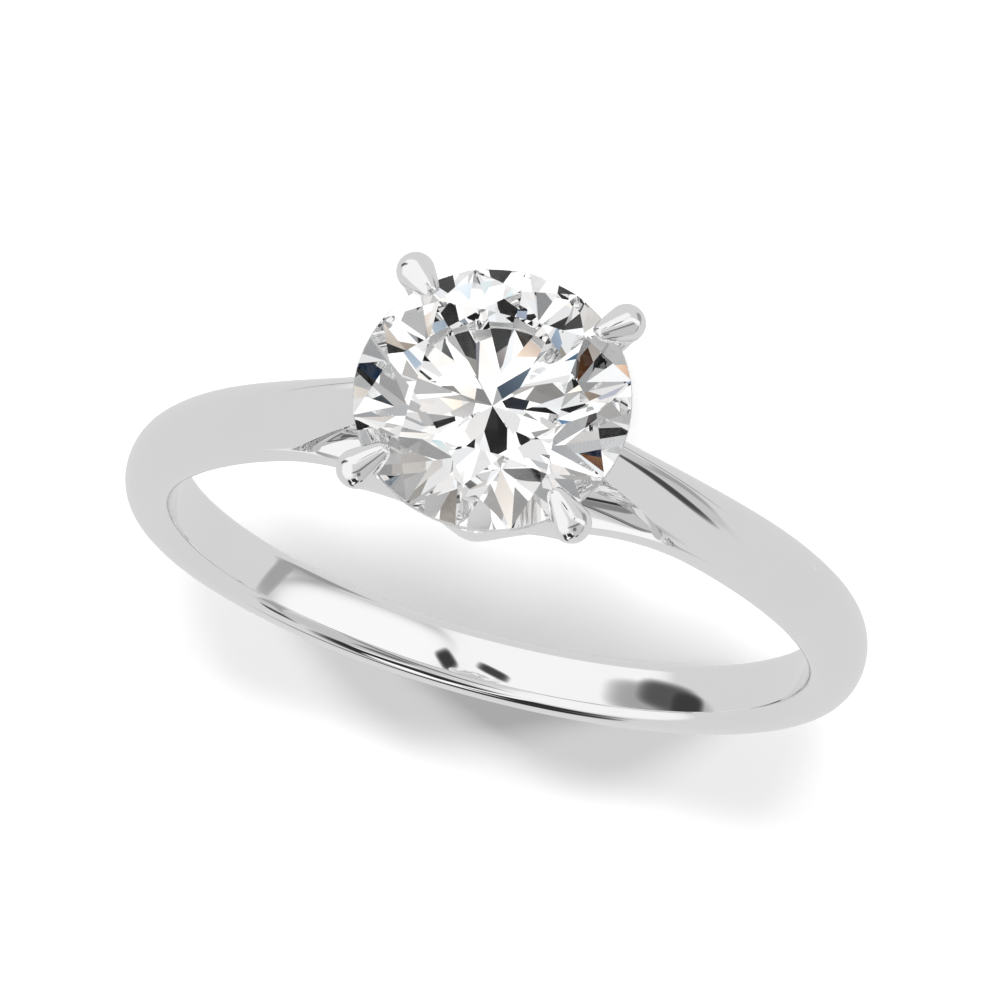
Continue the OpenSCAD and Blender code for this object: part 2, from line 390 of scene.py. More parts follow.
# How far past the shoulders' end the band would be as narrow as it is at the stone.
NARROW_PAST = math.radians(1)

# The dome's power in height is this much less than its power in width.
DOME_LESS = 0.2

# How far past an opening's tip the finger rail's top has risen.
SWELL_TURN = math.radians(9)

# Points closer than this, in millimetres, become one: on the band's seams, and in the whole metal.
SEAM_NEAR, SLIVER_NEAR = 0.0002, 0.0001

QUARTER_TURN = math.pi / 2


def section_at(size, around):
    """What the section at an angle from the foot depends on."""
    away = math.pi - abs(math.pi - abs(around))
    sin, cos = sine(around), cosine(around)
    shank = between(size.foot_width, size.side_width, sin * sin) / 2.0
    narrowed = eased(size.rise_from, size.rise_to + NARROW_PAST, away)
    half = between(shank, size.stone_end_width / 2.0, narrowed)
    metal = between(size.side_thickness, size.foot_thickness, ((1.0 + cos) / 2.0) ** size.foot_power)
    risen = most(0.0, (away - size.rise_from) / (size.rise_to - size.rise_from)) ** size.rise_power
    ridge = size.hole_radius + metal + size.rise_height * risen
    sharpened = eased(size.rise_from + RIDGE_LATE, size.rise_to - RIDGE_EARLY, away)
    sharpness = between(1.0, size.ridge_sharpness, sharpened)
    sideways = size.hole_radius * sin
    past = (sideways * sideways + size.rail_round * size.rail_round) ** 0.5 - size.rail_round
    under_head = calc("GREATER_THAN", away, QUARTER_TURN)
    flare = most(0.0, 1.0 - past / size.rail_flare) ** size.rail_point * under_head
    flared = between(size.rail_end, size.rail_reach, flare) + size.rail_ease
    soft = CREASE_SOFT * eased(size.window_from - CREASE_TURN, size.window_from, away)
    gap = half - flared
    wide = (half + flared + (gap * gap + soft * soft) ** 0.5) / 2.0
    rail_top = size.hole_radius + size.rail_thickness
    arch_top = size.hole_radius + size.side_thickness + size.rise_height - size.arch_end
    opened = most(0.0, (away - size.window_from) / (size.rise_to - size.window_from)) ** size.arch_power
    return SimpleNamespace(
        sin=sin,
        cos=cos,
        half=half,
        wide=wide,
        low=wide - (half - size.inner_width / 2.0),
        belly=size.hole_radius + size.belly_height,
        ridge=ridge,
        width_power=sharpness,
        height_power=sharpness - DOME_LESS,
        rail_top=rail_top,
        arch=between(rail_top, arch_top, opened),
    )


def dome_turn(section, distance):
    """How far up the dome, as an angle, a distance from the axis is reached."""
    share = (distance - section.belly) / (section.ridge - section.belly)
    return calc("ARCSINE", clipped(share ** (1.0 / section.height_power)))


def dome_out(section, width, turn):
    """How far out a dome of a width stands at an angle up its side."""
    return width * most(0.0, cosine(turn)) ** section.width_power


def dome_up(section, turn):
    """How far from the axis the dome stands at an angle up its side."""
    return section.belly + (section.ridge - section.belly) * most(0.0, sine(turn)) ** section.height_power


def half_loop(column, counts):
    """Where a column lies in a loop that runs up one side and back down the other: the side, and for
    each stretch of the way how much of it has been passed."""
    steps = sum(counts)
    side = 1.0 - 2.0 * calc("GREATER_THAN", column, steps + 0.5)
    step = steps - abs(column - float(steps))
    passed, start = [], 0
    for count in counts:
        passed.append(clipped((step - float(start)) / float(count)))
        start += count
    return side, passed


def rows_and_columns(tree, rows, columns):
    """A grid, and the row and the column of each of its points."""
    grid = node(tree, "GeometryNodeMeshGrid", Vertices_X=rows, Vertices_Y=columns, Size_X=1.0, Size_Y=1.0)
    index = Field(tree, node(tree, "GeometryNodeInputIndex"))
    row = calc("FLOOR", (index + 0.5) / float(columns))
    return grid, row, index - row * float(columns)


def placed(tree, grid, section, out, distance):
    """Moves a grid's points out from the band's middle and away from the finger hole's axis."""
    where = point(tree, distance * section.sin, out, distance * section.cos * -1.0)
    return node(tree, "GeometryNodeSetPosition", Geometry=grid, Position=where)


def lower_half(size, section, wall, edge, side, ledge):
    """Half width and distance from the axis from the finger hole up to the rail's top, and on over the
    ledge there to where the shoulder stands."""
    quarter = edge * QUARTER_TURN
    turn = dome_turn(section, section.rail_top) * side
    width = section.low * wall + (section.wide - section.low) * sine(quarter)
    out = width + dome_out(section, between(section.wide, section.half, ledge), turn) - section.wide
    fall = size.wall_crown * wall * wall * cosine(quarter)
    inside = size.hole_radius + fall + size.belly_height * (1.0 - cosine(quarter))
    return out, inside + dome_up(section, turn) - section.belly, turn


def whole_band(tree, size):
    """The band where its section is one closed loop, from one window's tip round the foot to the other."""
    counts = (WALL, EDGE, SIDE, LEDGE, DOME)
    grid, row, column = rows_and_columns(tree, BAND_ROWS + 1, 2 * sum(counts) + 1)
    section = section_at(size, size.window_from * (row * (2.0 / BAND_ROWS) - 1.0))
    side, (wall, edge, low, ledge, up) = half_loop(column, counts)
    out, distance, turn = lower_half(size, section, wall, edge, low, ledge)
    top = between(turn, QUARTER_TURN, up)
    out = out + dome_out(section, section.half, top) - dome_out(section, section.half, turn)
    distance = distance + dome_up(section, top) - dome_up(section, turn)
    return placed(tree, grid, section, out * side, distance)


def finger_rail(tree, size):
    """The wall of the finger hole, carried on under the head and flared to a round point."""
    counts = (WALL, EDGE, SIDE, LEDGE, FLAT)
    grid, row, column = rows_and_columns(tree, RAIL_ROWS + 1, 2 * sum(counts) + 1)
    around = size.window_from + (math.pi - size.window_from) * (row * (2.0 / RAIL_ROWS))
    section = section_at(size, around)
    side, (wall, edge, low, ledge, top) = half_loop(column, counts)
    out, distance, _ = lower_half(size, section, wall, edge, low, ledge)
    away = math.pi - abs(math.pi - around)
    swell = size.rail_swell * eased(size.window_from, size.window_from + SWELL_TURN, away)
    raised = distance + swell * (1.0 - (1.0 - top) ** 2.0)
    return placed(tree, grid, section, out * (1.0 - top) * side, raised)


def shoulder(tree, size, hand):
    """One shoulder from the window's tip to its end, closed there to a point."""
    counts = (FLAT, DOME)
    grid, row, column = rows_and_columns(tree, SHOULDER_ROWS + 2, 2 * sum(counts) + 1)
    along = row if hand > 0 else float(SHOULDER_ROWS + 1) - row
    closed = calc("GREATER_THAN", along, SHOULDER_ROWS + 0.5)
    share = least(1.0, along / float(SHOULDER_ROWS))
    section = section_at(size, hand * between(size.window_from, size.rise_to, share))
    side, (flat, up) = half_loop(column, counts)
    foot = dome_turn(section, section.arch)
    turn = between(foot, QUARTER_TURN, up)
    out = dome_out(section, section.half, foot) * (flat - 1.0) + dome_out(section, section.half, turn)
    middle = (section.arch + section.ridge) / 2.0
    distance = between(dome_up(section, turn), middle, closed)
    return placed(tree, grid, section, out * side * (1.0 - closed), distance)


# The head.

# The nubs: how far in from the rail's point their middles lie, in radii, and how far they are lifted
# off the finger hole.
NUB_IN, NUB_LIFT = 0.9, 0.03

# The arms' bend: how far sideways, in from the rail's point and up from the finger hole it lies.
BEND_SIDEWAYS, BEND_IN, BEND_UP = 1.4, 0.4, 2.05

# How far above the crown the middle of a claw's tip lies, in radii.
TIP_LIFT = 0.8

# Balls along a claw: how far each lies from the thick end to the tip, and how much it swells the drop,
# in radii of the thick end.
CLAW_SWELL = ((0.0, 0.0), (0.3, 0.05), (0.55, 0.08), (0.78, 0.09), (0.92, 0.08))

# How finely the nubs, the arms and the claws' balls are divided.
NUB_SEGMENTS, ARM_SEGMENTS, CLAW_SUBDIVISIONS = 48, 40, 5

# The claws stand on the diagonals, so this share of their distance runs each way.
DIAGONAL = math.sqrt(0.5)


def nub(tree, size, face):
    """A round nub on the rail's point."""
    segments, rings = NUB_SEGMENTS, NUB_SEGMENTS // 2
    ball = node(tree, "GeometryNodeMeshUVSphere", Segments=segments, Rings=rings, Radius=size.nub_radius)
    out = size.rail_reach - NUB_IN * size.nub_radius
    where = point(tree, 0.0, face * out, size.hole_radius + size.nub_radius + NUB_LIFT)
    return node(tree, "GeometryNodeTransform", Geometry=ball, Translation=where)


def arm(tree, size, hand, face):
    """A round arm from a nub up to a claw."""
    out = (size.radius + size.claw_out) * DIAGONAL
    up = size.hole_radius + size.girdle_up + size.claw_up / 2.0
    foot = point(tree, 0.0, face * (size.rail_reach - size.nub_radius), size.hole_radius + size.nub_radius)
    bend = point(tree, hand * BEND_SIDEWAYS, face * (size.rail_reach - BEND_IN), size.hole_radius + BEND_UP)
    top = point(tree, hand * out, face * out, up)
    steps = ARM_SEGMENTS
    line = node(tree, "GeometryNodeCurveQuadraticBezier", Resolution=steps, Start=foot, Middle=bend, End=top)
    ring = node(tree, "GeometryNodeCurvePrimitiveCircle", Resolution=steps, Radius=size.arm_radius)
    return node(tree, "GeometryNodeCurveToMesh", Curve=line, Profile_Curve=ring, Fill_Caps=True)


def claw(tree, size, hand, face):
    """A drop-shaped claw: a thick round end outside the girdle, drawn in to a small round tip."""
    root = (size.radius + size.claw_out) * DIAGONAL
    tip = (size.radius - size.tip_in) * DIAGONAL
    girdle = size.hole_radius + size.girdle_up
    crown = size.tip_in * calc("TANGENT", size.crown)
    thick = (size.claw_radius, root, girdle + size.claw_up)
    thin = (size.tip_radius, tip, girdle + size.girdle / 2.0 + crown + TIP_LIFT * size.tip_radius)
    balls = []
    for share, swell in CLAW_SWELL:
        radius, out, height = (between(a, b, share) for a, b in zip(thick, thin))
        radius = radius + swell * size.claw_radius
        ball = node(tree, "GeometryNodeMeshIcoSphere", Subdivisions=CLAW_SUBDIVISIONS, Radius=radius)
        where = point(tree, hand * out, face * out, height)
        balls.append(node(tree, "GeometryNodeTransform", Geometry=ball, Translation=where))
    return node(tree, "GeometryNodeConvexHull", Geometry=joined(tree, balls))


def joined(tree, parts):
    """Parts as one geometry."""
    made = tree.nodes.new("GeometryNodeJoinGeometry")
    for part in parts:
        tree.links.new(part, made.inputs[0])
    return made.outputs[0]


def united(tree, parts):
    """Closed parts fused into one solid."""
    made = tree.nodes.new("GeometryNodeMeshBoolean")
    made.operation = "UNION"
    made.solver = "MANIFOLD"
    for part in parts:
        tree.links.new(part, made.inputs["Mesh 2"])
    return made.outputs["Mesh"]


def cut_away(tree, solid, tool):
    """A solid less the room that another takes."""
    settings = {"operation": "DIFFERENCE", "solver": "MANIFOLD"}
    return node(tree, "GeometryNodeMeshBoolean", settings=settings, Mesh_1=solid, Mesh_2=tool)


def metal_tree(numbers):
    """The tree that makes the whole metal, with its seat cut for the stone."""
    others = (("Seat", "NodeSocketObject"), ("Material", "NodeSocketMaterial"))
    tree, size = new_tree("Ring Metal", numbers, others)
    shoulders = [shoulder(tree, size, hand) for hand in (1, -1)]
    parts = [whole_band(tree, size), finger_rail(tree, size), *shoulders]
    band = node(tree, "GeometryNodeMergeByDistance", Geometry=joined(tree, parts), Distance=SEAM_NEAR)
    head = [nub(tree, size, face) for face in (-1.0, 1.0)]
    for hand in (-1.0, 1.0):
        for face in (-1.0, 1.0):
            head += [arm(tree, size, hand, face), claw(tree, size, hand, face)]
    seat = node(tree, "GeometryNodeObjectInfo", "Geometry", Object=size.seat)
    cut = cut_away(tree, united(tree, [band, *head]), seat)
    clean = node(tree, "GeometryNodeMergeByDistance", Geometry=cut, Distance=SLIVER_NEAR)
    finish_tree(tree, clean, size.material)
    return tree


# The stone.

# Sides of the round blank, the tolerance of a cut, and how close two corners may lie before they are one.
BLANK_SIDES, CUT_NEAR, CORNER_NEAR = 192, 1e-6, 1e-5

# How far past the stone's point the blank reaches.
BLANK_SPARE = 1

# A brilliant has this many large facets above its girdle and as many below.
MAINS = 8


def facet_planes(cut):
    """The planes of the table, the crown and the pavilion, as places on them and ways out, and how deep
    the stone is below its girdle's middle."""
    radius, girdle, start = cut["Radius"], cut["Girdle"] / 2, cut["First Corner"]
    step = math.pi / MAINS
    table = radius * cut["Table"]
    crown, pavilion = math.tan(cut["Crown"]), math.tan(cut["Pavilion"])
    top = girdle + (radius - table) * crown
    culet = girdle + radius * pavilion
    star = table * math.cos(step) * (1 - cut["Star"]) + radius * cut["Star"]
    star_up = girdle + (radius - star * math.cos(step)) * crown
    lower = radius * (1 - cut["Lower"])
    lower_up = -girdle - (radius - lower * math.cos(step)) * pavilion

    def at(out, turn, up):
        return Vector((out * math.cos(turn), out * math.sin(turn), up))

    planes = [(at(0, 0, top), Vector((0, 0, 1)))]
    for i in range(MAINS):
        corner = start + 2 * step * i
        above, below = at(radius, corner, girdle), at(radius, corner, -girdle)
        for half in (corner - step, corner + step):
            planes.append(facet(at(star, half, star_up), above, at(radius, half, girdle)))
            planes.append(facet(at(lower, half, lower_up), below, at(radius, half, -girdle)))
        near, far = at(table, corner, top), at(table, corner + 2 * step, top)
        foot, sideways = at(0, 0, -culet), at(1, corner + QUARTER_TURN, 0)
        planes.append(facet(near, far, at(star, corner + step, star_up)))
        planes.append(facet(above, near, near + sideways))
        planes.append(facet(below, foot, foot + sideways))
    return planes, culet


def cut_stone(cut, grown=1.0):
    """A closed bmesh of the round brilliant about the middle of its girdle, in millimetres, cut plane by
    plane from a round blank."""
    radius = cut["Radius"]
    planes, culet = facet_planes(cut)
    body = bmesh.new()
    bmesh.ops.create_cone(
        body,
        cap_ends=True,
        segments=BLANK_SIDES,
        radius1=radius,
        radius2=radius,
        depth=2 * (culet + BLANK_SPARE),
    )
    for place, outward in planes:
        found = bmesh.ops.bisect_plane(
            body,
            geom=[*body.verts, *body.edges, *body.faces],
            dist=CUT_NEAR,
            plane_co=place,
            plane_no=outward,
            clear_outer=True,
        )
        rim = [edge for edge in found["geom_cut"] if isinstance(edge, bmesh.types.BMEdge)]
        bmesh.ops.contextual_create(body, geom=rim)
    bmesh.ops.remove_doubles(body, verts=body.verts, dist=CORNER_NEAR)
    bmesh.ops.dissolve_degenerate(body, edges=body.edges, dist=CORNER_NEAR)
    bmesh.ops.recalc_face_normals(body, faces=body.faces)
    bmesh.ops.scale(body, verts=body.verts, vec=(grown, grown, grown))
    return body


def facet(p, q, r):
    """A plane through three points, facing away from the stone's middle."""
    outward = (q - p).cross(r - p).normalized()
    if outward.dot(p) < 0:
        outward = -outward
    return p, outward


# Materials.

# The polish: how finely its patches and the wheel's marks are broken up, how much the marks wander, and
# the noise values at which the patches are finest and dullest.
PATCH_DETAIL, LINE_DETAIL, LINE_WANDER = 4.0, 3.0, 0.2
FINEST_AT, DULLEST_AT = 0.3, 0.8

# Where a Mix node takes its two colours, and where it gives the mixed one.
COLOUR_A, COLOUR_B, COLOUR_OUT = 6, 7, 2

# The stone's ground girdle starts at this share of its radius.
GIRDLE_FROM = 0.995

TABLE_ROUGHNESS = 0.9


def new_material(name):
    """An empty material and its node tree."""
    material = bpy.data.materials.new(name)
    material.use_nodes = True
    material.node_tree.nodes.clear()
    return material, material.node_tree


def shown(tree, surface):
    """Sends a surface to its material's output."""
    out = tree.nodes.new("ShaderNodeOutputMaterial")
    tree.links.new(surface, out.inputs["Surface"])


def upright_place(tree):
    """Object coordinates turned back to the upright ring, in metres from the middle of the finger hole,
    and the same as three fields."""
    where = node(tree, "ShaderNodeTexCoord", "Object")
    back = laid().inverted()
    turn = Vector(back.to_euler())
    place = node(tree, "ShaderNodeMapping", Vector=where, Rotation=turn, Location=back.translation)
    parts = node(tree, "ShaderNodeSeparateXYZ", Vector=place).node.outputs
    return place, *(Field(tree, part) for part in parts)


def polished_white_gold(look):
    """Mirror polish with the faint unevenness of a hand-buffed surface: patches that are a little duller,
    and marks of the buffing wheel that run round the band."""
    material, tree = new_material("polished_white_gold")
    place, x, y, z = upright_place(tree)
    patch = node(
        tree,
        "ShaderNodeTexNoise",
        Vector=place,
        Scale=1.0 / look.polish_patch,
        Detail=PATCH_DETAIL,
    )
    out = (x * x + z * z) ** 0.5
    line = node(
        tree,
        "ShaderNodeTexNoise",
        Vector=point(tree, calc("ARCTAN2", x, z) * look.polish_patch, y, out),
        Scale=1.0 / look.polish_line,
        Detail=LINE_DETAIL,
        Distortion=LINE_WANDER,
    )
    tone = tree.nodes.new("ShaderNodeMix")
    tone.data_type = "RGBA"
    plug(tree, patch, tone.inputs["Factor"])
    tone.inputs[COLOUR_A].default_value = (*look.metal, 1.0)
    tone.inputs[COLOUR_B].default_value = (*look.metal_shade, 1.0)
    dull = node(
        tree,
        "ShaderNodeMapRange",
        Value=patch,
        From_Min=FINEST_AT,
        From_Max=DULLEST_AT,
        To_Min=look.metal_roughness,
        To_Max=look.metal_dullest,
    )
    bump = node(tree, "ShaderNodeBump", Height=line, Distance=look.polish_depth, Strength=1.0)
    metal = node(
        tree,
        "ShaderNodeBsdfPrincipled",
        Metallic=1.0,
        Base_Color=tone.outputs[COLOUR_OUT],
        Roughness=dull,
        Normal=bump,
    )
    shown(tree, metal)
    return material


def clear_stone(look, cut, hole_radius):
    """A clear stone with polished facets and a finely ground girdle."""
    material, tree = new_material("clear_stone")
    _, x, y, z = upright_place(tree)
    out = (x * x + y * y) ** 0.5
    height = abs(z - (hole_radius + cut.girdle_up))
    on_rim = calc("GREATER_THAN", out, cut.radius * GIRDLE_FROM)
    on_girdle = calc("LESS_THAN", height, cut.girdle / 2) * on_rim
    stone = node(
        tree,
        "ShaderNodeBsdfPrincipled",
        Base_Color=(*look.stone, 1.0),
        Transmission_Weight=1.0,
        IOR=look.index,
        Specular_Tint=(*look.stone_gloss, 1.0),
        Roughness=on_girdle * look.girdle_roughness,
    )
    shown(tree, stone)
    return material


def white_table(stage):
    """A matt pale table top."""
    material, tree = new_material("white_table")
    matt = node(
        tree,
        "ShaderNodeBsdfPrincipled",
        Base_Color=(*stage.floor, 1.0),
        Roughness=TABLE_ROUGHNESS,
        Specular_IOR_Level=0.0,
    )
    shown(tree, matt)
    return material


# The studio: the panels and cards of the room round the ring.


class RoomPanel(NamedTuple):
    """A soft-edged window of the room's brightness. Its middle lies so many degrees right and up of the
    camera's direction, its half width and half height are in degrees too, and so is its turn."""

    name: str
    right: float
    up: float
    half_width: float
    half_height: float
    turn: float
    softness: float
    brightness: float


PANELS = (
    RoomPanel("key window", -22, 48, 38, 19, -14, 0.3, 1.03),
    RoomPanel("left wall", -52, -8, 30, 42, 0, 0.35, 1.02),
    RoomPanel("right card", 80, 40, 9, 12, 0, 0.85, 0.35),
    RoomPanel("front card", 30, -35, 24, 28, 0, 0.6, 0.6),
    RoomPanel("side screen", 60, -48, 20, 4, 60, 0.6, 0.4),
    RoomPanel("camera card", 17, -34, 7, 8, 0, 0.6, 0.18),
    RoomPanel("black bar", 13, -12, 30, 1.3, 20, 0.5, 0.04),
    RoomPanel("grey bar", 14.5, -17, 30, 2.4, 20, 0.6, 0.25),
    RoomPanel("lamp frame", 51, 14.5, 36, 12.5, -22, 0.15, 0.4),
    RoomPanel("right lamp", 49, 14.5, 33, 10.5, -22, 0.35, 1.06),
    RoomPanel("right flag", 88, 12, 2.2, 9, 8, 0.9, 0.4),
    RoomPanel("left screen", -71, 41, 14.5, 3.9, 0, 0.95, 0.4),
    RoomPanel("left flag", -72.5, 45, 8, 3, 0, 0.95, 0.1),
    RoomPanel("left flag's end", -83, 41, 4.4, 2.6, 0, 0.95, 0.05),
    RoomPanel("small flag", -2, 31.5, 4.6, 1.3, 0, 0.6, 0.06),
    RoomPanel("corner flag", 15.5, 26.5, 3.4, 2.2, 30, 0.6, 0.05),
    RoomPanel("low screen", 45, -67, 12, 3.4, 40, 0.7, 0.62),
    RoomPanel("low card", 32.5, -78, 4.4, 2.9, 38, 0.9, 0.07),
    RoomPanel("black flag", -17, -81, 23, 16, 40, 0.25, 0.03),
    RoomPanel("low flag", -36, -107, 4, 11, 12, 0.4, 0.03),
    RoomPanel("left strip", -28, -77, 2.0, 12, 15, 0.5, 1.15),
    RoomPanel("near strip", 4, -60, 2.0, 9, 23, 0.5, 1.15),
    RoomPanel("low strip", -18, -93, 3.5, 9, -36, 0.5, 1.15),
)

# The lights, grey screens and dark gaps that the stone gathers, all with the same fairly crisp edge.
CRISP = 0.25
GAP, DIM, GREY, LAMP = 0.0, 0.34, 0.47, 1.25

GEM_PANELS = (
    RoomPanel("camera gap", 0, 5, 4, 6, 0, CRISP, GAP),
    RoomPanel("upper gap", -5, 32, 14, 8, 30, CRISP, GAP),
    RoomPanel("front screen", 0, -35, 40, 22, 0, CRISP, GREY),
    RoomPanel("near screen", -18, -5, 5, 12, -15, CRISP, GREY),
    RoomPanel("corner screen", 16, 24, 5, 4, -45, CRISP, DIM),
    RoomPanel("front lamp", 4, -44, 6, 8, 30, CRISP, LAMP),
    RoomPanel("right screen", 40, -45, 20, 25, 25, CRISP, GREY),
    RoomPanel("back screen", -75, -120, 15, 20, 60, CRISP, GREY),
    RoomPanel("left gap", -70, -25, 15, 15, 0, CRISP, GAP),
    RoomPanel("side screen", 25, -3, 8, 4, -20, CRISP, DIM),
    RoomPanel("far screen", 35, -120, 30, 20, -35, CRISP, GREY),
    RoomPanel("slim screen", 23, 8, 3, 10, 25, CRISP, DIM),
    RoomPanel("front gap", -2, -30, 3, 12, 0, CRISP, GAP),
    RoomPanel("left lamp", -16, -27, 5, 5, 0, CRISP, LAMP),
    RoomPanel("low gap", 25, -47, 10, 10, 0, CRISP, GAP),
    RoomPanel("small gap", -3, -23, 7, 3, -20, CRISP, GAP),
    RoomPanel("upper lamp", -2, 15, 9, 6, -30, CRISP, LAMP),
)

# How square a panel is: 2 would make it an ellipse.
PANEL_POWER = 4.0

# A direction counts as at least this far ahead, so that nothing is divided by zero.
LEAST_AHEAD = 0.01

# The stone's small gaps: the noise values below which one is darkest and above which there is none.
GAP_DARKEST, GAP_NONE = 0.42, 0.58

# The way, to the camera's right, up and back, along which the stone's red and blue come apart.
FIRE_WAY = (-0.8, -0.6, 0.0)

# How far along that way red, green and blue are looked up, in shares of the fire.
RED_GREEN_BLUE = (-0.5, 0.0, 0.5)


def vector_math(tree, operation, way, vector):
    """The outputs of one Vector Math node on a direction and a constant vector."""
    made = tree.nodes.new("ShaderNodeVectorMath")
    made.operation = operation
    tree.links.new(way, made.inputs[0])
    made.inputs[1].default_value = vector
    return made.outputs


def dot(tree, way, vector):
    """How far a direction reaches along a vector."""
    return Field(tree, vector_math(tree, "DOT_PRODUCT", way, vector)["Value"])


def smooth_range(tree, value, low, high, settled, reached):
    """A value eased from one result at low to another at high."""
    eased_value = node(
        tree,
        "ShaderNodeMapRange",
        settings={"interpolation_type": "SMOOTHSTEP"},
        Value=value,
        From_Min=low,
        From_Max=high,
        To_Min=settled,
        To_Max=reached,
    )
    return Field(tree, eased_value)


def panel_share(tree, way, camera, panel):
    """How much of a panel shows in a direction: 1 inside it, 0 outside it, and eased over its edge."""
    away = math.radians(math.hypot(panel.right, panel.up))
    bearing = math.atan2(panel.up, panel.right)
    lean = bearing - math.radians(panel.turn)
    sin, cos = math.sin(away), math.cos(away)
    middle = Vector((sin * math.cos(bearing), sin * math.sin(bearing), cos))
    outward = Vector((cos * math.cos(bearing), cos * math.sin(bearing), -sin))
    along = Vector((-math.sin(bearing), math.cos(bearing), 0))
    wide = (outward * math.cos(lean) - along * math.sin(lean)) / math.tan(math.radians(panel.half_width))
    tall = (outward * math.sin(lean) + along * math.cos(lean)) / math.tan(math.radians(panel.half_height))
    ahead = most(dot(tree, way, camera @ middle), LEAST_AHEAD)
    across, upward = (dot(tree, way, camera @ axis) / ahead for axis in (wide, tall))
    off = across**PANEL_POWER + upward**PANEL_POWER
    inner, outer = (1 - panel.softness) ** PANEL_POWER, (1 + panel.softness) ** PANEL_POWER
    return smooth_range(tree, off, inner, outer, 1.0, 0.0)


def lights_group(name, stage, room, panels):
    """A node group that gives the brightness of a room and its panels in a direction."""
    tree = bpy.data.node_groups.new(name, "ShaderNodeTree")
    tree.interface.new_socket("Direction", in_out="INPUT", socket_type="NodeSocketVector")
    tree.interface.new_socket("Brightness", in_out="OUTPUT", socket_type="NodeSocketFloat")
    way = tree.nodes.new("NodeGroupInput").outputs[0]
    camera = camera_place(stage).to_3x3()
    bright = room
    for panel in panels:
        bright = between(bright, panel.brightness, panel_share(tree, way, camera, panel))
    out = tree.nodes.new("NodeGroupOutput")
    tree.links.new(bright.socket, out.inputs[0])
    return tree


def background(tree, colour, strength=1.0):
    """A light of the world, of a colour or of a socket's."""
    made = tree.nodes.new("ShaderNodeBackground")
    plug(tree, colour, made.inputs["Color"])
    made.inputs["Strength"].default_value = strength
    return made.outputs[0]


def in_group(tree, group, way):
    """What a node group gives in a direction."""
    made = tree.nodes.new("ShaderNodeGroup")
    made.node_tree = group
    tree.links.new(way, made.inputs[0])
    return made.outputs[0]


def gathered_light(tree, stage, way):
    """The lights and dark gaps that the stone gathers, whose red and blue edges stand a little apart,
    which gives the stone its fire."""
    lights = lights_group("Stone Lights", stage, stage.gem, GEM_PANELS)
    shift = camera_place(stage).to_3x3() @ Vector(FIRE_WAY) * stage.fire
    colours = []
    for share in RED_GREEN_BLUE:
        moved = vector_math(tree, "ADD", way, shift * share)["Vector"]
        noise = node(tree, "ShaderNodeTexNoise", Vector=moved, Scale=stage.gaps, Detail=1.0)
        left = smooth_range(tree, noise, GAP_DARKEST, GAP_NONE, stage.dark, 1.0)
        colours.append(Field(tree, in_group(tree, lights, moved)) * left)
    return node(tree, "ShaderNodeCombineColor", Red=colours[0], Green=colours[1], Blue=colours[2])


def studio(stage):
    """The room. The camera sees it white, the table is lit by an even fill, the metal mirrors its panels,
    and the stone gathers lights of its own."""
    world = bpy.data.worlds.new("studio")
    world.use_nodes = True
    tree = world.node_tree
    tree.nodes.clear()
    way = node(tree, "ShaderNodeTexCoord")
    mirrored = in_group(tree, lights_group("Studio", stage, stage.room, PANELS), way)
    gathered = gathered_light(tree, stage, way)
    paths = tree.nodes.new("ShaderNodeLightPath")
    white = (1.0, 1.0, 1.0, 1.0)
    seen = background(tree, white, stage.fill)
    for kind, colour in (
        ("Is Camera Ray", white),
        ("Is Glossy Ray", mirrored),
        ("Is Transmission Ray", gathered),
    ):
        choice = tree.nodes.new("ShaderNodeMixShader")
        tree.links.new(paths.outputs[kind], choice.inputs[0])
        tree.links.new(seen, choice.inputs[1])
        tree.links.new(background(tree, colour), choice.inputs[2])
        seen = choice.outputs[0]
    out = tree.nodes.new("ShaderNodeOutputWorld")
    tree.links.new(seen, out.inputs["Surface"])
    return world


# Operators: one for each piece and one for the stage.

# Edges of the metal that turn more sharply than this stay sharp.
SHARP_ANGLE = math.radians(30)

# The table top: its radius in metres, and its sides.
TABLE_RADIUS, TABLE_SIDES = 1.5, 96

# How often light may go on through the stone, and from mirror to mirror.
STONE_BOUNCES, MIRROR_BOUNCES = 24, 12

# The nearest and the furthest that the camera sees, in metres.
NEAREST, FURTHEST = 0.001, 10


def ring_values(scene):
    """All sizes of the ring and the stone by their names, lengths in millimetres."""
    return labels_and_values(scene.ring_sizes) | labels_and_values(scene.stone_sizes)


def stone_body(values, grown=1.0):
    """The stone as a bmesh in its place in the upright ring, in millimetres."""
    body = cut_stone(values, grown)
    bmesh.ops.translate(body, verts=body.verts, vec=(0, 0, values["Hole Radius"] + values["Girdle Up"]))
    return body


def mesh_object(name, body):
    """A bmesh as an object in the scene. The bmesh is freed."""
    mesh = bpy.data.meshes.new(name)
    body.to_mesh(mesh)
    body.free()
    made = bpy.data.objects.new(name, mesh)
    bpy.context.scene.collection.objects.link(made)
    return made


class RING_OT_metal(bpy.types.Operator):
    """Build the band with its shoulders, finger rail, nubs, arms and claws as one piece"""

    bl_idname = "ring.metal"
    bl_label = "Metal"

    def execute(self, context):
        scene = context.scene
        values = ring_values(scene)
        seat = mesh_object("seat", stone_body(values, 1 + values["Seat Gap"] / values["Radius"]))
        given = values | {"Seat": seat, "Material": polished_white_gold(scene.ring_finish)}
        piece = baked("band_metal", metal_tree(list(values)), given)
        bpy.data.objects.remove(seat)
        piece.data.transform(laid() @ Matrix.Scale(MM, 4))
        piece.data.shade_smooth()
        piece.data.set_sharp_from_angle(angle=SHARP_ANGLE)
        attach(piece, "root")
        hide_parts("band")
        return {"FINISHED"}


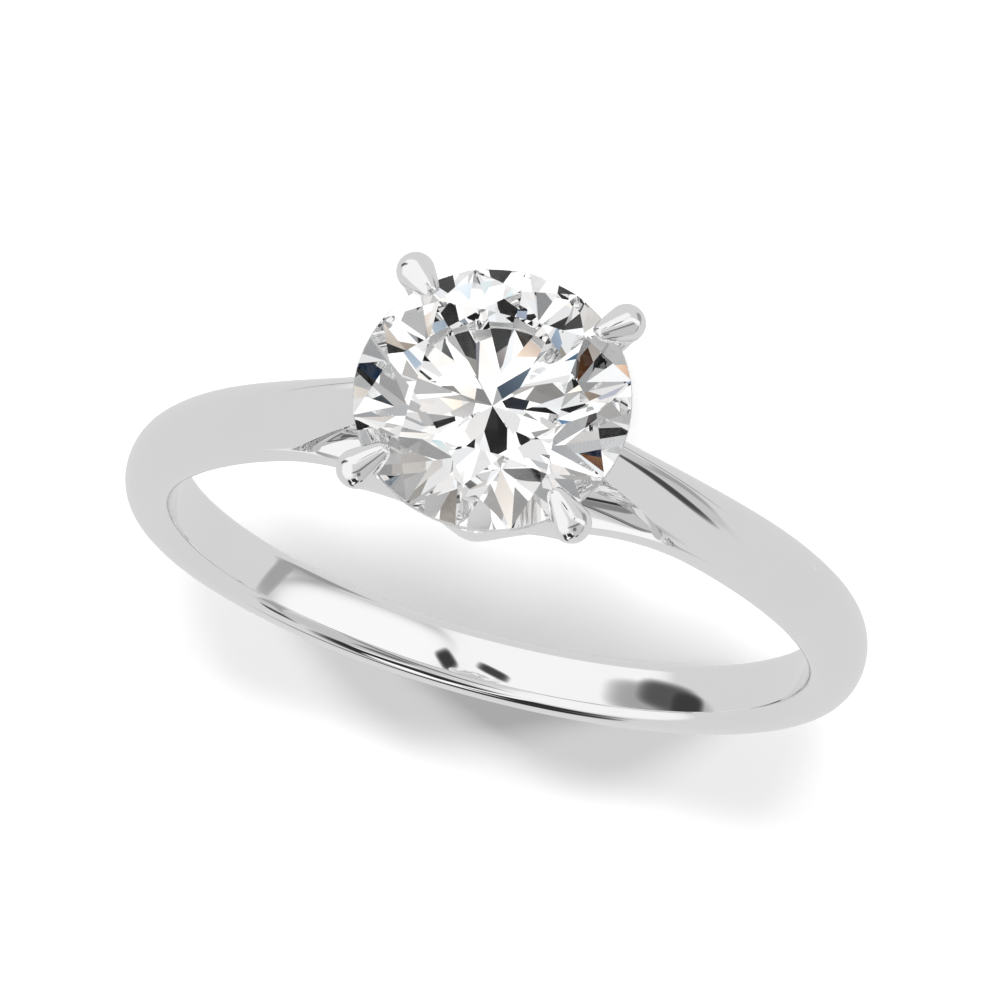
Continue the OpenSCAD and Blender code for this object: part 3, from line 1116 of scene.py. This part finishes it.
class RING_OT_stone(bpy.types.Operator):
    """Cut the round brilliant, facet by facet"""

    bl_idname = "ring.stone"
    bl_label = "Stone"

    def execute(self, context):
        scene = context.scene
        body = stone_body(ring_values(scene))
        bmesh.ops.transform(body, matrix=laid() @ Matrix.Scale(MM, 4), verts=body.verts)
        piece = mesh_object("round_brilliant", body)
        clear = clear_stone(scene.ring_finish, scene.stone_sizes, scene.ring_sizes.hole_radius)
        piece.data.materials.append(clear)
        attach(piece, "root")
        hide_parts("brilliant")
        return {"FINISHED"}


def camera_place(stage):
    """Where the camera stands to the upright ring, seen from behind it, and then to the ring as it lies."""
    turn, height, roll = stage.turn, stage.height, stage.roll
    back = Vector((math.sin(turn) * math.cos(height), -math.cos(turn) * math.cos(height), math.sin(height)))
    right = Vector((0, 0, 1)).cross(back).normalized()
    up = back.cross(right)
    side = right * math.cos(roll) + up * math.sin(roll)
    top = up * math.cos(roll) - right * math.sin(roll)
    place = side * stage.aim[0] + top * stage.aim[1] + back * stage.distance
    seen = Matrix((side, top, back)).transposed().to_4x4()
    return laid() @ Matrix.Rotation(math.pi, 4, "Z") @ Matrix.Translation(place) @ seen


def lay_table(stage):
    """The table top under the ring. Neither the metal nor the stone mirrors it."""
    body = bmesh.new()
    bmesh.ops.create_circle(body, cap_ends=True, segments=TABLE_SIDES, radius=TABLE_RADIUS)
    table = mesh_object("table", body)
    table.data.materials.append(white_table(stage))
    table.visible_glossy = table.visible_transmission = False


def light_lamps(scene, stage):
    """The row of low lamps, which only cast light and shadow."""
    for i in range(stage.lamps):
        lamp = bpy.data.lights.new(f"low_lamp_{i + 1}", "SUN")
        lamp.energy = stage.lamp_power
        lamp.angle = stage.lamp_size
        lit = bpy.data.objects.new(lamp.name, lamp)
        turn = stage.lamp_reach * (2 * i / max(1, stage.lamps - 1) - 1)
        lit.rotation_euler = (math.pi / 2 - stage.lamp_height, 0, turn)
        lit.visible_glossy = lit.visible_transmission = False
        scene.collection.objects.link(lit)


def stand_camera(scene, stage):
    """The camera of the photo's view."""
    lens = bpy.data.cameras.new("camera")
    lens.lens = stage.lens
    lens.clip_start = NEAREST
    lens.clip_end = FURTHEST
    camera = bpy.data.objects.new("camera", lens)
    scene.collection.objects.link(camera)
    camera.matrix_world = camera_place(stage)
    scene.camera = camera


class RING_OT_stage(bpy.types.Operator):
    """Lay out the white table, the pale room, the lights and the camera"""

    bl_idname = "ring.stage"
    bl_label = "Stage"

    def execute(self, context):
        scene = context.scene
        stage = scene.ring_stage
        scene.view_settings.view_transform = "Standard"
        lay_table(stage)
        scene.world = studio(stage)
        light_lamps(scene, stage)
        stand_camera(scene, stage)
        scene.cycles.max_bounces = STONE_BOUNCES
        scene.cycles.transmission_bounces = STONE_BOUNCES
        scene.cycles.glossy_bounces = MIRROR_BOUNCES
        scene.cycles.caustics_reflective = scene.cycles.caustics_refractive = True
        return {"FINISHED"}


class RING_PT_panel(bpy.types.Panel):
    """The sidebar's buttons and sizes"""

    bl_label = "Solitaire Ring"
    bl_idname = "RING_PT_panel"
    bl_space_type = "VIEW_3D"
    bl_region_type = "UI"
    bl_category = "Ring"

    def draw(self, context):
        for operator in OPERATORS:
            self.layout.operator(operator.bl_idname)
        for name, _ in GROUPS:
            group = getattr(context.scene, name)
            box = self.layout.box()
            for key in group.__annotations__:
                box.prop(group, key)


GROUPS = (
    ("ring_sizes", RingSizes),
    ("stone_sizes", StoneSizes),
    ("ring_finish", Finish),
    ("ring_stage", Stage),
)
OPERATORS = (RING_OT_metal, RING_OT_stone, RING_OT_stage)


def register():
    for name, group in GROUPS:
        bpy.utils.register_class(group)
        setattr(bpy.types.Scene, name, PointerProperty(type=group))
    for thing in (*OPERATORS, RING_PT_panel):
        bpy.utils.register_class(thing)


def unregister():
    for thing in (RING_PT_panel, *reversed(OPERATORS)):
        bpy.utils.unregister_class(thing)
    for name, group in reversed(GROUPS):
        delattr(bpy.types.Scene, name)
        bpy.utils.unregister_class(group)


def main():
    register()
    bpy.ops.ring.stage()
    bpy.ops.ring.stone()
    bpy.ops.ring.metal()


if __name__ == "__main__":
    main()
